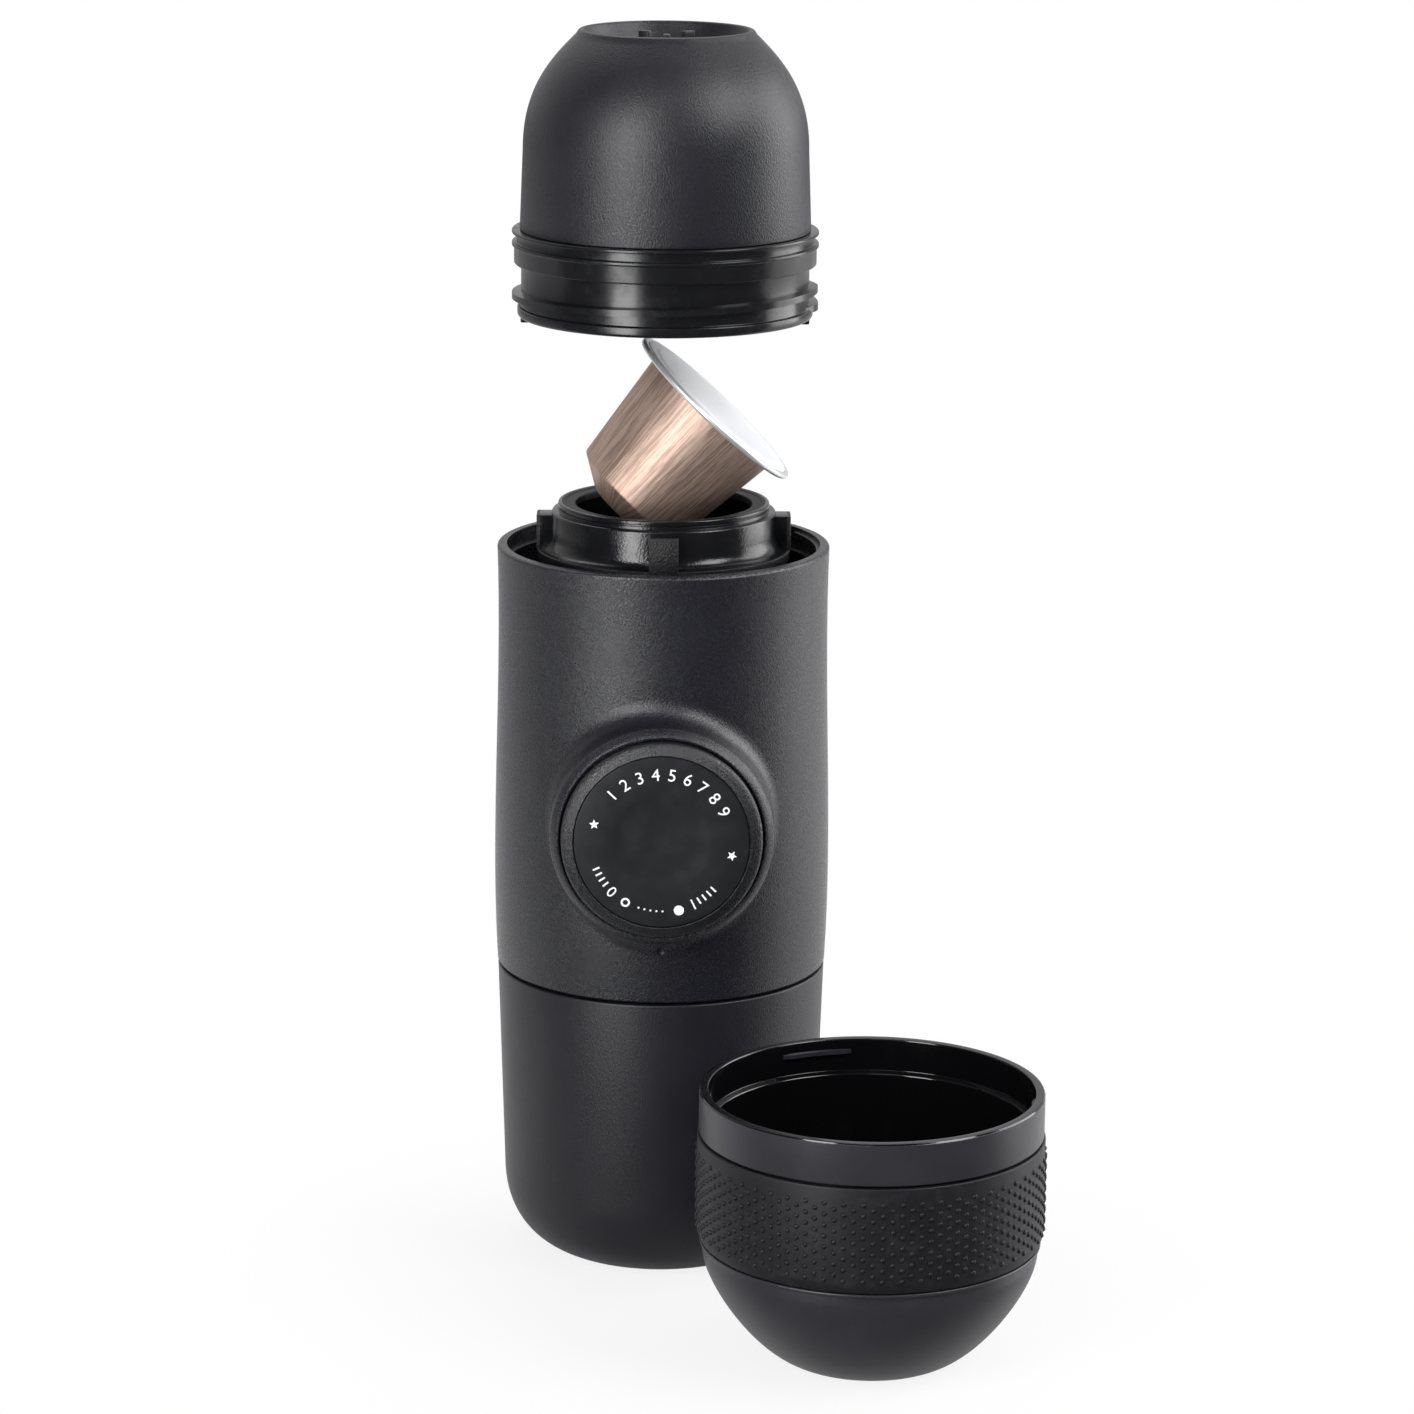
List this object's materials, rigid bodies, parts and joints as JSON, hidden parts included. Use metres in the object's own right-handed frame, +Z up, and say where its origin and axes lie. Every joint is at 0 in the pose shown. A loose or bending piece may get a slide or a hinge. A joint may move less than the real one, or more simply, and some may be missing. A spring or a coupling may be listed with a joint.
{
  "type": "single-serve coffee maker",
  "caption": "Hand-pumped capsule coffee maker, opened for loading: tank, body with pump knob, ribbed capsule holder, tipped capsule, lifted outlet head, and its cup beside it.",
  "frame": {"origin": "centre of the water tank's flat foot, on the table and on the maker's long axis", "axes": "+Z up along the maker's long axis; -Y is the front, where the pump knob points; +X to the right when facing the knob"},
  "size_m": [0.1008, 0.1243, 0.2327],
  "materials": {
    "body_matt": "black matt plastic with a fine leather-like grain",
    "tank_matt": "black matt plastic, finely textured",
    "dome_matt": "black matt plastic, finely textured",
    "gloss_black": "black moulded plastic, polished",
    "satin_black": "black satin plastic",
    "dial_black": "black dial film, smooth satin",
    "white_acetal": "natural moulded acetal",
    "clear_tube": "translucent silicone tube",
    "black_rubber": "black rubber",
    "steel": "stainless steel",
    "copper_foil": "copper-coloured aluminium with a brushed line",
    "lid_foil": "pale aluminium foil",
    "grey_silicone": "grey silicone"
  },
  "bodies": {
    "tank": {"water_tank": "tank_matt"},
    "tank_ring": {"tank_seal": "grey_silicone"},
    "main_body": {"body_shell": "body_matt", "pump_chassis": "satin_black", "pump_cylinder": "white_acetal", "inlet_valve": "grey_silicone", "outlet_valve": "grey_silicone", "delivery_pipe": "steel", "intake_tube": "clear_tube", "intake_strainer": "satin_black", "capsule_holder": "gloss_black", "holder_seal": "black_rubber", "spike_plate": "steel", "holder_screws": "steel"},
    "capsule": {"capsule_shell": "copper_foil", "capsule_lid": "lid_foil"},
    "piston": {"piston_rod": "satin_black", "piston_seal": "grey_silicone", "piston_spring": "steel", "knob_screw": "steel"},
    "knob": {"knob_cap": "satin_black", "knob_sleeve": "gloss_black", "dial_disc": "dial_black"},
    "plate": {"pressure_plate": "steel", "plate_gasket": "grey_silicone"},
    "head": {"head_skirt": "gloss_black", "head_crown": "satin_black", "head_dome": "dome_matt", "spout_nozzle": "gloss_black"},
    "cup": {"cup_shell": "gloss_black", "cup_sleeve": "black_rubber"}
  },
  "joints": [
    {"name": "body_lift", "type": "slide", "parent": "tank", "child": "tank_ring", "axis": [0, 0, 1], "range_m": [0, 0.066]},
    {"name": "body_turn", "type": "hinge", "parent": "tank_ring", "child": "main_body", "pos_m": [0, 0, 0.0655], "axis": [0, 0, 1], "range_deg": [0, 360]},
    {"name": "piston_slide", "type": "slide", "parent": "main_body", "child": "piston", "axis": [0, -1, 0], "range_m": [0, 0.022], "deforming": ["piston_spring"]},
    {"name": "knob_turn", "type": "hinge", "parent": "piston", "child": "knob", "pos_m": [0, -0.036, 0.09], "axis": [0, -1, 0], "range_deg": [-14, 29]},
    {"name": "head_lift", "type": "slide", "parent": "main_body", "child": "plate", "axis": [0, 0, 1], "range_m": [-0.052, 0]},
    {"name": "head_turn", "type": "hinge", "parent": "plate", "child": "head", "pos_m": [0, 0, 0.1995], "axis": [0, 0, 1], "range_deg": [-360, 0]},
    {"name": "capsule_tip", "type": "hinge", "parent": "main_body", "child": "capsule", "pos_m": [0.0265, 0, 0.142], "axis": [0, 1, 0], "range_deg": [-43, 0]},
    {"name": "cup_lift", "type": "slide", "parent": "tank", "child": "cup", "axis": [0.6, -0.2, 0.7746], "range_m": [0, 0.08]}
  ],
  "couplings": [
    {"joint": "capsule_tip", "follows": "head_lift", "rad_per_m": 14.432}
  ]
}
